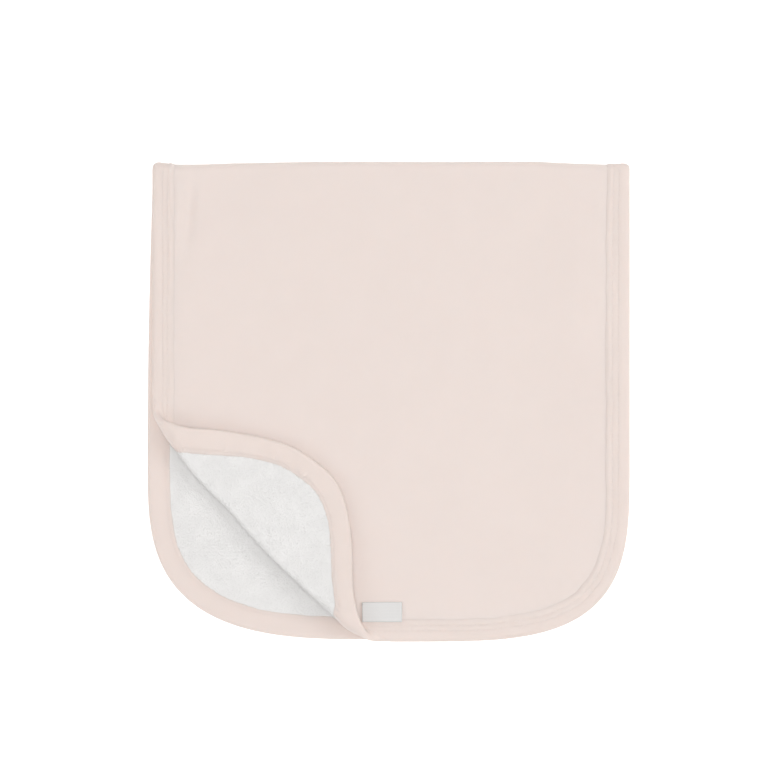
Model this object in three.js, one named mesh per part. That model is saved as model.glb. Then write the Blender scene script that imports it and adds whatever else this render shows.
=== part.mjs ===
// A two-layer burp cloth, folded in half with the fold at the back (+Y), lying flat on its
// back half. The front half's near left corner is turned up over it along a diagonal.
// Everything is cut in the flat pattern first (u across, s along from the fold's crest, d in
// from the cut edge, h through the cloth) and then laid by one map, drape(). Millimetres, +Z up.
import * as THREE from "three";

// Cloth, flat
const HALF_WIDTH = 123.75;
const HALF_LENGTH = 248.6;
const BINDING_WIDTH = 10.5;
const CORNER_STEPS = 14;
const SIDE_STATIONS = [0, 1.26, 2.51, 3.77, 10, 24, 45, 70, 95, 115, 130, 145];
const CORNERS = {
  frontRight: { side: 1, end: 1, across: 112.1, along: 93.8, power: 3.49 },
  turned: { side: -1, end: 1, across: 121, along: 91, power: 3.6 },
  backLeft: { side: -1, end: -1, across: 120, along: 90, power: 3.08 },
  backRight: { side: 1, end: -1, across: 112.1, along: 93.8, power: 3.49 },
};

// Cloth, through its thickness: h is above 0 on the jersey's side, below 0 on the terry's
const PLY_GAP = 0.15;
const PRESSED = 0.95;
const JERSEY = 1.15;
const TERRY = 1.75;
const BINDING_OUT = 2.15;
const BINDING_IN = 1.25;
const PANEL_RINGS = [2.1, 10.8, 12.6, 24];
const BINDING_PROFILE = [
  { d: 0, out: 0.9, cavity: 0.45 },
  { d: 0.9, out: 1.9, cavity: 0.45 },
  { d: 1.8, out: BINDING_OUT, cavity: BINDING_IN },
  { d: BINDING_WIDTH, out: BINDING_OUT, cavity: BINDING_IN },
];
const CAVITY_START = 0.9;

// Heights of the middle of the cloth, in the field and raised where the binding thickens it
const BACK_Z = 1.15;
const FRONT_Z = 5.15;
const FLAP_Z = 7.95;
const OWN_RAISE = 1.0;
const STACK_RAISE = 0.8;
const RAISE_START = 10.8;
const RAISE_RUN = 13.2;

// Main fold
const FRONT_SHIFT = 1.4;
const BACK_SKEW = 2.8;
const BACK_SKEW_RUN = 150;
const BACK_SHORT = 0.7;
const CREST_Y = 124.2;
const CREST_FADE = 70;
const CREST_LINE = [
  { u: -123.75, rise: -1.6 }, { u: -120, rise: -1.0 }, { u: -97, rise: -1.15 },
  { u: -77, rise: -0.8 }, { u: -56, rise: -0.3 }, { u: -35, rise: 0 }, { u: 27, rise: -0.1 },
  { u: 68, rise: 0.15 }, { u: 89, rise: -0.3 }, { u: 110, rise: -0.3 }, { u: 123.75, rise: -1.0 },
];

// Turned corner: its fold runs along a diagonal at FOLD_DISTANCE from the origin.
// t is the place along it, bow its bow outward, radius its roll, lift how far it stands up
// and slip how far the flap's edge is drawn back towards the fold.
const FOLD_ANGLE = THREE.MathUtils.degToRad(223.78);
const FOLD_OUT = { x: Math.cos(FOLD_ANGLE), y: Math.sin(FOLD_ANGLE) };
const FOLD_ALONG = { x: -FOLD_OUT.y, y: FOLD_OUT.x };
const FOLD_DISTANCE = 99.3;
const FOLD_LINE = [
  { t: -95, bow: -9.0, radius: 4.6, lift: 0.5, slip: 0 },
  { t: -81, bow: -6.2, radius: 4.6, lift: 0.5, slip: 0 },
  { t: -72, bow: -4.2, radius: 4.3, lift: 0.6, slip: 0 },
  { t: -64, bow: -2.6, radius: 4.0, lift: 0.7, slip: 0.8 },
  { t: -54, bow: -1.6, radius: 3.0, lift: 0.7, slip: 0 },
  { t: -44, bow: -0.7, radius: 2.1, lift: 0.6, slip: 0 },
  { t: -30, bow: 0.3, radius: 1.8, lift: 0.5, slip: -0.4 },
  { t: -5, bow: 0.75, radius: 1.75, lift: 0.6, slip: -1.2 },
  { t: 14, bow: -0.8, radius: 2.0, lift: 1.2, slip: -1.0 },
  { t: 41, bow: -1.1, radius: 2.6, lift: 2.4, slip: 2.4 },
  { t: 52, bow: -1.6, radius: 3.2, lift: 2.6, slip: 4.2 },
  { t: 64, bow: -2.5, radius: 4.0, lift: 2.0, slip: 6.5 },
  { t: 72, bow: -3.25, radius: 4.0, lift: 1.3, slip: 8.0 },
  { t: 79, bow: -5.4, radius: 3.8, lift: 0.7, slip: 2.0 },
  { t: 95, bow: -9.6, radius: 3.6, lift: 0.7, slip: 0 },
];
const LIFT_RUN = 42;
const SETTLE_RUN = 36;
const SLIP_RUN = 14;
const ROLL_STEPS = 8;
const ROLL_MARGINS = [12, 26, 42];
const TURN_MIN_S = 20;

// Broad swells of the upper half, where it doesn't lie quite flat
const SWELLS = [
  { x: -78, y: 62, long: 70, wide: 38, angle: 70, height: 0.8 },
  { x: 30, y: 30, long: 60, wide: 45, angle: 20, height: 0.6 },
  { x: 92, y: 60, long: 60, wide: 26, angle: 88, height: 0.9 },
  { x: 52, y: -62, long: 70, wide: 40, angle: 140, height: 0.7 },
];

// Label, its lower end at the binding's inner edge
const LABEL = { left: -15.1, right: 5.7, depthStart: 11.3, depthEnd: 19.6, low: 1.5, high: 2.4 };
const LABEL_COLUMNS = 3;
const LABEL_ROWS = 4;

// Cells of the pattern
const GRID = 31;
const SNAP = 0.12;
const TINY_AREA = 0.01;
const ON_EDGE = 1e-3;

const COLOURS = { jersey: 0xecdcd6, terry: 0xefefec, binding: 0xead8d1, label: 0xf6f5f2 };

const clamp = (x, low, high) => Math.min(high, Math.max(low, x));
const lerp = (a, b, k) => a + (b - a) * k;

function smooth(q) {
  const x = clamp(q, 0, 1);
  return x * x * (3 - 2 * x);
}

// Smooth curve through one column of a table
function along(table, key, column, place) {
  const last = table.length - 1;
  const x = clamp(place, table[0][key], table[last][key]);
  let i = 0;
  while (i < last - 1 && x > table[i + 1][key]) i += 1;
  const slope = (k) => {
    const a = table[Math.max(0, k - 1)];
    const b = table[Math.min(last, k + 1)];
    return (b[column] - a[column]) / (b[key] - a[key]);
  };
  const width = table[i + 1][key] - table[i][key];
  const q = (x - table[i][key]) / width;
  return (2 * q ** 3 - 3 * q ** 2 + 1) * table[i][column] + (q ** 3 - 2 * q ** 2 + q) * width * slope(i)
    + (3 * q ** 2 - 2 * q ** 3) * table[i + 1][column] + (q ** 3 - q ** 2) * width * slope(i + 1);
}

// Straight interpolation in a profile table
function profile(table, column, d) {
  let i = 0;
  while (i < table.length - 2 && d > table[i + 1].d) i += 1;
  const k = clamp((d - table[i].d) / (table[i + 1].d - table[i].d), 0, 1);
  return lerp(table[i][column], table[i + 1][column], k);
}

// The draping map

const raise = (d) => 1 - smooth((d - RAISE_START) / RAISE_RUN);
const MAIN_RADIUS = (FRONT_Z - BACK_Z) / 2;
const FIELD_CREST = CREST_Y - MAIN_RADIUS - JERSEY;
const FLAT_START = FIELD_CREST + MAIN_RADIUS * Math.PI / 2;

function mainFold(u, d) {
  const r = raise(d);
  const low = BACK_Z + OWN_RAISE * r;
  const high = FRONT_Z + (OWN_RAISE + STACK_RAISE) * r;
  const radius = (high - low) / 2;
  const outer = JERSEY + (BINDING_OUT - JERSEY) * r;
  const crest = CREST_Y + along(CREST_LINE, "u", "rise", u) - radius - outer;
  return { low, high, radius, crest, arc: radius * Math.PI / 2, middle: (low + high) / 2 };
}

// Place of a flat point beyond the main fold, seen from above
function planPlace(u, s, d) {
  const fold = mainFold(u, d);
  const shift = fold.crest + fold.arc - FLAT_START;
  const fade = 1 - smooth((Math.abs(s) - fold.arc) / CREST_FADE);
  const skew = BACK_SKEW * Math.sin(clamp(-s / BACK_SKEW_RUN, 0, 1) * Math.PI / 2);
  const short = BACK_SHORT * smooth(-s / HALF_LENGTH);
  return { x: u + FRONT_SHIFT - skew, y: FLAT_START - Math.abs(s) + shift * fade + short };
}

function foldPlace(x, y) {
  const t = x * FOLD_ALONG.x + y * FOLD_ALONG.y;
  const row = (column) => along(FOLD_LINE, "t", column, t);
  const radius = row("radius");
  const bow = row("bow");
  const past = x * FOLD_OUT.x + y * FOLD_OUT.y - FOLD_DISTANCE - bow;
  return { t, radius, bow, past, half: radius * Math.PI / 2, lift: row("lift"), slip: row("slip") };
}

function swell(x, y) {
  return SWELLS.reduce((sum, w) => {
    const a = THREE.MathUtils.degToRad(w.angle);
    const p = ((x - w.x) * Math.cos(a) + (y - w.y) * Math.sin(a)) / w.long;
    const q = ((y - w.y) * Math.cos(a) - (x - w.x) * Math.sin(a)) / w.wide;
    return sum + w.height * (1 - smooth(Math.hypot(p, q)));
  }, 0);
}

function underFlap(x, y) {
  const depth = Math.min(HALF_WIDTH - Math.abs(x - FRONT_SHIFT), HALF_LENGTH - (FLAT_START - y));
  return (OWN_RAISE + STACK_RAISE) * raise(Math.max(depth, 0));
}

function foldPoint(fold, p, z) {
  const out = p + fold.bow + FOLD_DISTANCE;
  return new THREE.Vector3(
    out * FOLD_OUT.x + fold.t * FOLD_ALONG.x, out * FOLD_OUT.y + fold.t * FOLD_ALONG.y, z);
}

// Front half: flat, then round the diagonal roll, then back over itself as the flap
function frontPoint(u, s, d, h) {
  const plan = planPlace(u, s, d);
  const fold = foldPlace(plan.x, plan.y);
  const theta = clamp((fold.past + fold.half) / fold.radius, 0, Math.PI);
  const turned = Math.sin(theta / 2) ** 2;
  const out = h + OWN_RAISE * raise(d) * (1 - 2 * turned);
  const low = FRONT_Z + STACK_RAISE * raise(d);
  const before = -fold.past - fold.half;
  if (before >= 0) {
    const lift = fold.lift * (1 - smooth(before / LIFT_RUN));
    return new THREE.Vector3(plan.x, plan.y, low + lift + swell(plan.x, plan.y) + out);
  }
  const rollZ = low + fold.lift + fold.radius * (1 - Math.cos(theta)) + out * Math.cos(theta);
  const beyond = fold.past - fold.half;
  if (beyond <= 0) {
    const p = -fold.half + fold.radius * Math.sin(theta) - out * Math.sin(theta);
    return foldPoint(fold, p, rollZ);
  }
  const p = -fold.past + fold.slip * smooth(beyond / SLIP_RUN);
  const point = foldPoint(fold, p, 0);
  const lift = fold.lift * (1 - smooth(beyond / LIFT_RUN));
  const rest = FLAP_Z + lift + underFlap(point.x, point.y) + swell(point.x, point.y) - out;
  point.z = lerp(rest, rollZ, 1 - smooth(beyond / SETTLE_RUN));
  return point;
}

function drape({ u, s, d }, h) {
  const fold = mainFold(u, d);
  const plan = planPlace(u, s, d);
  if (Math.abs(s) < fold.arc) {
    const phi = s / fold.radius;
    const reach = fold.radius + h;
    return new THREE.Vector3(plan.x, fold.crest + reach * Math.cos(phi), fold.middle + reach * Math.sin(phi));
  }
  if (s < 0) return new THREE.Vector3(plan.x, plan.y, fold.low - h);
  return frontPoint(u, s, d, h);
}

// The pattern's outline, as stations with their outward direction

function cornerStations({ side, end, across, along: length, power }) {
  const stations = [];
  for (let i = 0; i <= CORNER_STEPS; i += 1) {
    const turn = (i / CORNER_STEPS) * Math.PI / 2;
    const spread = (Math.tan(turn) * length / across) ** (power / (2 * (power - 1)));
    const w = i === CORNER_STEPS ? Math.PI / 2 : Math.atan(spread);
    stations.push({
      u: side * (HALF_WIDTH - across + across * Math.cos(w) ** (2 / power)),
      s: end * (HALF_LENGTH - length + length * Math.sin(w) ** (2 / power)),
      nu: side * Math.cos(turn),
      ns: end * Math.sin(turn),
    });
  }
  return stations;
}

function sideStations(side) {
  const places = [...SIDE_STATIONS.slice(1).map((s) => -s).reverse(), ...SIDE_STATIONS];
  return places.map((s) => ({ u: side * HALF_WIDTH, s, nu: side, ns: 0 }));
}

const STATIONS = [
  ...sideStations(1),
  ...cornerStations(CORNERS.frontRight),
  ...cornerStations(CORNERS.turned).reverse(),
  ...sideStations(-1).reverse(),
  ...cornerStations(CORNERS.backLeft),
  ...cornerStations(CORNERS.backRight).reverse(),
];

const inset = (station, d) => ({ u: station.u - station.nu * d, s: station.s - station.ns * d, d });

function ringCells(levels) {
  const cells = [];
  STATIONS.forEach((station, i) => {
    const next = STATIONS[(i + 1) % STATIONS.length];
    for (let k = 0; k + 1 < levels.length; k += 1) {
      const [outer, inner] = [levels[k], levels[k + 1]];
      const points = [inset(station, outer), inset(next, outer), inset(next, inner), inset(station, inner)];
      cells.push({ points, core: false });
    }
  });
  return cells;
}

// Cutting convex cells along the level lines of a field over the pattern

const samePlace = (a, b) => Math.abs(a.u - b.u) < ON_EDGE && Math.abs(a.s - b.s) < ON_EDGE;

function area(points) {
  return points.reduce((sum, a, i) => {
    const b = points[(i + 1) % points.length];
    return sum + (a.u * b.s - b.u * a.s) / 2;
  }, 0);
}

function crossing(a, b, field, level) {
  const [from, to] = a.u < b.u || (a.u === b.u && a.s < b.s) ? [a, b] : [b, a];
  const at = (k) => ({ u: lerp(from.u, to.u, k), s: lerp(from.s, to.s, k), d: lerp(from.d, to.d, k) });
  const rising = field(from) < level;
  let [low, high] = [0, 1];
  for (let i = 0; i < 30; i += 1) {
    const middle = (low + high) / 2;
    if ((field(at(middle)) < level) === rising) low = middle;
    else high = middle;
  }
  const point = at((low + high) / 2);
  const near = (end) => Math.hypot(end.u - point.u, end.s - point.s) < SNAP;
  if (near(from)) return from;
  return near(to) ? to : point;
}

function splitCell(cell, field, level) {
  const values = cell.points.map((p) => field(p) - level);
  if (values.every((v) => v >= -ON_EDGE) || values.every((v) => v <= ON_EDGE)) return [cell];
  const halves = [[], []];
  cell.points.forEach((a, i) => {
    const j = (i + 1) % cell.points.length;
    if (values[i] >= -ON_EDGE) halves[0].push(a);
    if (values[i] <= ON_EDGE) halves[1].push(a);
    const apart = Math.abs(values[i]) > ON_EDGE && Math.abs(values[j]) > ON_EDGE;
    if (apart && values[i] * values[j] < 0) {
      const point = crossing(a, cell.points[j], field, level);
      halves.forEach((half) => half.push(point));
    }
  });
  const tidy = halves.map((half) => half.filter((p, i) => !samePlace(p, half[(i + 1) % half.length])));
  if (tidy.some((half) => half.length < 3 || Math.abs(area(half)) < TINY_AREA)) return [cell];
  return tidy.map((points) => ({ points, core: cell.core }));
}

function cut(cells, field, levels, wanted = () => true) {
  return levels.reduce(
    (list, level) => list.flatMap((cell) => (wanted(cell) ? splitCell(cell, field, level) : [cell])), cells);
}

const acrossField = (p) => p.u;
const alongField = (p) => p.s;

function turnOf(p) {
  const plan = planPlace(p.u, p.s, p.d);
  return foldPlace(plan.x, plan.y);
}

function rollField(p) {
  const fold = turnOf(p);
  return fold.past / fold.half;
}

function marginField(p) {
  const fold = turnOf(p);
  return fold.past - Math.sign(fold.past) * fold.half;
}

const inFront = (cell) => cell.points.every((p) => p.s > TURN_MIN_S);

function nearRoll(cell) {
  const middle = { u: 0, s: 0, d: 0 };
  cell.points.forEach((p) => {
    middle.u += p.u / cell.points.length;
    middle.s += p.s / cell.points.length;
  });
  return inFront(cell) && Math.abs(marginField(middle)) < ROLL_MARGINS[0];
}

function cutRoll(cells) {
  const steps = Array.from({ length: ROLL_STEPS + 1 }, (_, i) => (2 * i) / ROLL_STEPS - 1);
  const margins = [...ROLL_MARGINS.map((m) => -m), ...ROLL_MARGINS];
  const rows = FOLD_LINE.map((row) => row.t);
  const rolled = cut(cells, rollField, steps, inFront);
  const flanked = cut(rolled, marginField, margins, inFront);
  return cut(flanked, (p) => turnOf(p).t, rows, nearRoll);
}

// Every corner that lies on a neighbour's edge becomes a corner of that neighbour too
function weld(cells) {
  const places = new Map();
  const keyOf = (p) => `${Math.round(p.u / ON_EDGE)},${Math.round(p.s / ON_EDGE)}`;
  cells.forEach((cell) => cell.points.forEach((p) => {
    if (!places.has(keyOf(p))) places.set(keyOf(p), p);
  }));
  const all = [...places.values()];
  const between = (a, b) => {
    const length = Math.hypot(b.u - a.u, b.s - a.s);
    const reach = (p) => ((p.u - a.u) * (b.u - a.u) + (p.s - a.s) * (b.s - a.s)) / length;
    const off = (p) => Math.abs((p.u - a.u) * (b.s - a.s) - (p.s - a.s) * (b.u - a.u)) / length;
    return all.filter((p) => off(p) < 2 * ON_EDGE && reach(p) > 2 * ON_EDGE && reach(p) < length - 2 * ON_EDGE)
      .sort((p, q) => reach(p) - reach(q));
  };
  return cells.map((cell) => {
    const corners = cell.points.map((p) => places.get(keyOf(p)));
    const points = corners.flatMap((a, i) => [a, ...between(a, corners[(i + 1) % corners.length])]);
    return { points, core: cell.core };
  });
}

function fan(points) {
  const triangles = (k) => {
    const ring = [...points.slice(k), ...points.slice(0, k)];
    return ring.slice(2).map((p, i) => [ring[0], ring[i + 1], p]);
  };
  const worst = (list) => Math.min(...list.map((t) => Math.abs(area(t))));
  const options = points.map((_, k) => triangles(k));
  const best = options.reduce((a, b) => (worst(b) > worst(a) ? b : a));
  if (worst(best) > ON_EDGE) return best;
  const middle = { u: 0, s: 0, d: 0 };
  points.forEach((p) => ["u", "s", "d"].forEach((k) => { middle[k] += p[k] / points.length; }));
  return points.map((p, i) => [middle, p, points[(i + 1) % points.length]]);
}

// A patch of cells is turned into triangles and open edges, and those into closed bodies

function patchOf(cells) {
  const edges = new Map();
  const name = new Map();
  const idOf = (p) => {
    if (!name.has(p)) name.set(p, name.size);
    return name.get(p);
  };
  cells.forEach(({ points }) => points.forEach((a, i) => {
    const b = points[(i + 1) % points.length];
    edges.set(`${idOf(a)}>${idOf(b)}`, [a, b]);
  }));
  const rim = [...edges.values()].filter(([a, b]) => !edges.has(`${idOf(b)}>${idOf(a)}`));
  return { triangles: cells.flatMap(({ points }) => fan(points)), rim };
}

function surface(patch, height, facing) {
  return patch.triangles.map((triangle) => {
    const corners = triangle.map((p) => drape(p, height(p.d)));
    return facing > 0 ? corners : corners.reverse();
  });
}

function wall(edges, low, high) {
  return edges.flatMap(([a, b]) => {
    const [a0, a1] = [drape(a, low(a.d)), drape(a, high(a.d))];
    const [b0, b1] = [drape(b, low(b.d)), drape(b, high(b.d))];
    return [[a0, b0, b1], [a0, b1, a1]];
  });
}

function bodyOf(triangles) {
  const index = [];
  const positions = [];
  const known = new Map();
  const volume = triangles.reduce((sum, [a, b, c]) => sum + a.dot(b.clone().cross(c)) / 6, 0);
  triangles.forEach((triangle) => {
    const ordered = volume > 0 ? triangle : [...triangle].reverse();
    ordered.forEach((p) => {
      const key = `${p.x.toFixed(4)},${p.y.toFixed(4)},${p.z.toFixed(4)}`;
      if (!known.has(key)) {
        known.set(key, known.size);
        positions.push(p.x, p.y, p.z);
      }
      index.push(known.get(key));
    });
  });
  const geometry = new THREE.BufferGeometry();
  geometry.setAttribute("position", new THREE.Float32BufferAttribute(positions, 3));
  geometry.setIndex(index);
  geometry.computeVertexNormals();
  return geometry;
}

// Panels

function panelCells() {
  const depth = PANEL_RINGS[PANEL_RINGS.length - 1];
  const core = { points: STATIONS.map((station) => inset(station, depth)), core: true };
  const steps = (limit) => {
    const list = [];
    for (let x = GRID; x < limit; x += GRID) list.push(x);
    return list;
  };
  const columns = [0, ...steps(HALF_WIDTH).flatMap((x) => [x, -x])];
  const folded = SIDE_STATIONS.filter((s) => s < GRID / 4);
  const rows = [...folded, ...steps(HALF_LENGTH)].flatMap((s) => (s ? [s, -s] : [s]));
  const isCore = (cell) => cell.core;
  const gridded = cut(cut([core], acrossField, columns, isCore), alongField, rows, isCore);
  return weld(cutRoll([...ringCells(PANEL_RINGS), ...gridded]));
}

function panelGeometry(patch, thick, side) {
  const [, pressedEnd, fullStart] = PANEL_RINGS;
  const inner = () => side * PLY_GAP;
  const outer = (d) => side * lerp(PRESSED, thick, clamp((d - pressedEnd) / (fullStart - pressedEnd), 0, 1));
  const [low, high] = side > 0 ? [inner, outer] : [outer, inner];
  return bodyOf([
    ...surface(patch, high, 1),
    ...surface(patch, low, -1),
    ...wall(patch.rim, low, high),
  ]);
}

// Binding: one strip folded over the cut edges of both panels, all the way round

function bindingGeometry() {
  const cells = weld(cutRoll(ringCells(BINDING_PROFILE.map((row) => row.d))));
  const out = (d) => profile(BINDING_PROFILE, "out", d);
  const cavity = (d) => profile(BINDING_PROFILE, "cavity", d);
  const minus = (f) => (d) => -f(d);
  const whole = patchOf(cells);
  const legs = patchOf(cells.filter(({ points }) => points.every((p) => p.d > CAVITY_START - ON_EDGE)));
  const lip = (edge) => edge.every((p) => Math.abs(p.d - BINDING_WIDTH) < ON_EDGE);
  const root = (edge) => edge.every((p) => Math.abs(p.d - CAVITY_START) < ON_EDGE);
  const nose = (edge) => edge.every((p) => p.d < ON_EDGE);
  return bodyOf([
    ...surface(whole, out, 1),
    ...surface(whole, minus(out), -1),
    ...surface(legs, cavity, -1),
    ...surface(legs, minus(cavity), 1),
    ...wall(whole.rim.filter(nose), minus(out), out),
    ...wall(whole.rim.filter(lip), cavity, out),
    ...wall(whole.rim.filter(lip), minus(out), minus(cavity)),
    ...wall(legs.rim.filter(root), cavity, minus(cavity)),
  ]);
}

// Label: a bare woven tab that lies on the jersey

function labelGeometry() {
  const at = (i, j) => {
    const d = lerp(LABEL.depthStart, LABEL.depthEnd, j / LABEL_ROWS);
    return { u: lerp(LABEL.left, LABEL.right, i / LABEL_COLUMNS), s: HALF_LENGTH - d, d };
  };
  const points = Array.from({ length: LABEL_COLUMNS + 1 }, (_, i) => (
    Array.from({ length: LABEL_ROWS + 1 }, (__, j) => at(i, j))));
  const cells = [];
  for (let i = 0; i < LABEL_COLUMNS; i += 1) {
    for (let j = 0; j < LABEL_ROWS; j += 1) {
      const corners = [points[i][j], points[i][j + 1], points[i + 1][j + 1], points[i + 1][j]];
      cells.push({ points: corners, core: false });
    }
  }
  const patch = patchOf(cells);
  const [low, high] = [() => LABEL.low, () => LABEL.high];
  return bodyOf([...surface(patch, high, 1), ...surface(patch, low, -1), ...wall(patch.rim, low, high)]);
}

function piece(name, geometry, colour, roughness) {
  const material = new THREE.MeshStandardMaterial({ color: colour, roughness, metalness: 0 });
  const mesh = new THREE.Mesh(geometry, material);
  mesh.name = name;
  return mesh;
}

const panels = patchOf(panelCells());
const cloth = new THREE.Group();
cloth.add(
  piece("face_panel", panelGeometry(panels, JERSEY, 1), COLOURS.jersey, 0.9),
  piece("terry_panel", panelGeometry(panels, TERRY, -1), COLOURS.terry, 1.0),
  piece("binding", bindingGeometry(), COLOURS.binding, 0.9),
  piece("label", labelGeometry(), COLOURS.label, 0.7),
);

export default cloth;
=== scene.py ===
"""Looks of a two-layer burp cloth, folded in half with one corner turned up.

The cloth is cut flat (u across, s along from the main fold's crest, d in from the cut edge,
h through the thickness, above 0 on the jersey's side) and laid by one map, drape(). Lengths
are millimetres until a mesh is made.
"""

import math

import bmesh
import bpy
import numpy as np
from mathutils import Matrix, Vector


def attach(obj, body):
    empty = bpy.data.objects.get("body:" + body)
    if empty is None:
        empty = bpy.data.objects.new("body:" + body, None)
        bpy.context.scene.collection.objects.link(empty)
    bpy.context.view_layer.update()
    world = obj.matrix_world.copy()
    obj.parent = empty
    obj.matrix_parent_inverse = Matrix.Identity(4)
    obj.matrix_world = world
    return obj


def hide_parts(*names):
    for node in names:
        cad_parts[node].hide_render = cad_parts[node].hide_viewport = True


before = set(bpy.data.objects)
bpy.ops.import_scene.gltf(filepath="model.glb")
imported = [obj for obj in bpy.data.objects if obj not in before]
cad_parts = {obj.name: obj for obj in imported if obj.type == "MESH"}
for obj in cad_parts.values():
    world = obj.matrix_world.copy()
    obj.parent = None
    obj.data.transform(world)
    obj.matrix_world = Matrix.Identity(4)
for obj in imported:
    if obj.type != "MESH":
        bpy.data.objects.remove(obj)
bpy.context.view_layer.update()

MM = 0.001

# Cloth, flat. Corners are keyed by side and end
HALF_WIDTH = 123.75
HALF_LENGTH = 248.6
CORNERS = {
    (1, 1): {"across": 112.1, "along": 93.8, "power": 3.49},
    (-1, 1): {"across": 121.0, "along": 91.0, "power": 3.6},
    (-1, -1): {"across": 120.0, "along": 90.0, "power": 3.08},
    (1, -1): {"across": 112.1, "along": 93.8, "power": 3.49},
}

# Cloth, through its thickness
PLY_GAP = 0.15
PRESSED = 0.95
PRESSED_END = 10.4
FULL_START = 11.0
JERSEY = 1.15
TERRY = 1.75
TERRY_GROUND = 1.3
BINDING_OUT = 2.15

# Heights of the middle of the cloth
BACK_Z = 1.15
FRONT_Z = 5.15
FLAP_Z = 7.95
OWN_RAISE = 1.0
STACK_RAISE = 0.8
RAISE_START = 10.8
RAISE_RUN = 36

# Main fold
FRONT_SHIFT = 1.4
BACK_SKEW = 2.8
BACK_SKEW_RUN = 150
BACK_SHORT = 0.7
CREST_Y = 124.2
CREST_FADE = 70
CREST_LINE = {
    "u": (-123.75, -120, -97, -77, -56, -35, 27, 68, 89, 110, 123.75),
    "rise": (-0.6, 0.0, -0.4, -0.3, 0.1, 0.4, 0.3, 0.5, 0.0, -0.1, -0.8),
}

# Turned corner's fold
FOLD_ANGLE = math.radians(223.78)
FOLD_OUT = (math.cos(FOLD_ANGLE), math.sin(FOLD_ANGLE))
FOLD_ALONG = (-FOLD_OUT[1], FOLD_OUT[0])
FOLD_DISTANCE = 99.3
FOLD_LINE = {
    "t": (-95, -81, -72, -64, -54, -44, -30, -17, -5, 14, 41, 52, 64, 72, 79, 95),
    "bow": (-9.8, -6.6, -4.4, -2.6, -1.6, -0.7, -0.4, -0.8, -0.1, 0.4, -0.7, -1.2, -1.5, -2.7, -5.4, -9.6),
    "radius": (3.0, 3.8, 4.0, 4.0, 3.0, 2.1, 1.8, 1.75, 1.75, 2.0, 2.6, 3.2, 4.0, 4.0, 3.8, 3.6),
    "lift": (0.0, 0.2, 0.4, 0.7, 0.7, 0.6, 0.5, 0.5, 0.6, 1.2, 2.4, 2.6, 2.0, 1.3, 0.7, 0.7),
    "slip": (0, 0, 0, 0, -1.2, -1.6, -1.0, 0.0, -1.2, -3.8, 0.8, 3.1, 4.8, 6.4, 4.5, 0),
}
LIFT_RUN = 42
SETTLE_RUN = 56
SLIP_RUN = 22
TURN_MIN_S = 20

# Broad swells of the upper half
SWELLS = (
    {"x": -78, "y": 62, "long": 70, "wide": 38, "angle": 70, "height": 0.8},
    {"x": 30, "y": 30, "long": 60, "wide": 45, "angle": 20, "height": 0.6},
    {"x": 92, "y": 60, "long": 60, "wide": 26, "angle": 88, "height": 0.9},
    {"x": 52, "y": -62, "long": 70, "wide": 40, "angle": 140, "height": 0.7},
)

# Soft creases of the upper half, each a stroke from start to end
CREASES = (
    {"start": (-101.6, 115.0), "end": (-106.2, 74.0), "width": 3.2, "height": -1.6},
    {"start": (-108.5, 104.0), "end": (-111.5, 80.0), "width": 1.6, "height": 0.5},
    {"start": (-111.5, 71.5), "end": (-104.5, 67.0), "width": 1.9, "height": -0.4},
    {"start": (-104.0, 58.0), "end": (-108.0, 34.0), "width": 2.4, "height": 0.25},
    {"start": (109.5, 112.0), "end": (108.0, 62.0), "width": 2.2, "height": 0.30},
    {"start": (105.0, 80.0), "end": (103.0, 30.0), "width": 2.8, "height": -0.25},
)
CREASE_CLEAR = 12
CREASE_OVERRUN = 0.15
CREASE_TAPER = 0.45

# Creases of the lower half's terry where it is bare
BACK_CREASES = (
    {"start": (-112.0, -40.0), "end": (-84.0, -104.0), "width": 3.4, "height": 0.35},
    {"start": (-106.0, -36.0), "end": (-66.0, -100.0), "width": 3.0, "height": -0.30},
    {"start": (-96.0, -48.0), "end": (-52.0, -106.0), "width": 4.0, "height": 0.30},
)
BACK_CREASE_RUN = 4

# Unevenness of the sewn edge: waves round the whole edge, by count, size and phase
WANDER = {"waves": (23, 59, 124), "size": (0.5, 0.3, 0.2), "phase": (1.3, 0.4, 2.1)}
WANDER_SHARE = 0.03
SPREAD = {"s": (-60, 0, 60, 150, 250), "right": (1.04, 1.06, 1.12, 1.12, 1.05), "from": -20, "run": 60}

# Where the binding's inner edge isn't pressed flat: out at both sides, at the left by the main fold
LOOSE_SIDE = {"from": 60, "run": 50}
LOOSE_LEFT = {"until": 50, "run": 20}

# Gathers beside the sewing
GATHER = {"waves": (139, 188, 241), "size": (0.45, 0.35, 0.2), "phase": (0.2, 1.9, 3.4)}
GATHER_HEIGHT = 0.16
GATHER_START = 8
GATHER_RUN = 20
GATHER_WINDOW = {"d": (0, 3, 7, 11, 15, 21, 28), "share": (0.2, 0.4, 0.8, 1.0, 0.7, 0.25, 0)}

# Binding's section: depth from the edge and height, jersey's side first. The face also has a
# height where its inner edge lies pressed flat
BINDING_FACE = (
    (10.0, 0.7, 0.7), (11.4, 0.75, 0.75), (11.6, 0.85, 0.85), (11.3, 1.12, 1.02), (10.8, 1.4, 1.16),
    (10.1, 1.66, 1.32), (9.3, 1.82, 1.48), (8.7, 1.76, 1.58), (8.3, 1.66, 1.62), (8.0, 1.63, 1.62),
    (7.7, 1.66, 1.67), (7.3, 1.74, 1.76), (6.8, 1.81, 1.84), (6.2, 1.86, 1.88), (5.8, 1.86, 1.87),
    (5.6, 1.83, 1.84),
    (5.4, 1.83, 1.84), (5.2, 1.88, 1.89), (4.8, 2.0, 2.0), (4.2, 2.13, 2.13), (3.3, 2.24, 2.24),
    (2.3, 2.26, 2.26), (1.4, 2.1, 2.1), (0.7, 1.72, 1.72), (0.25, 1.2, 1.2), (0.05, 0.58, 0.58),
)
BINDING_TURN = ((0.0, -0.1),)
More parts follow.
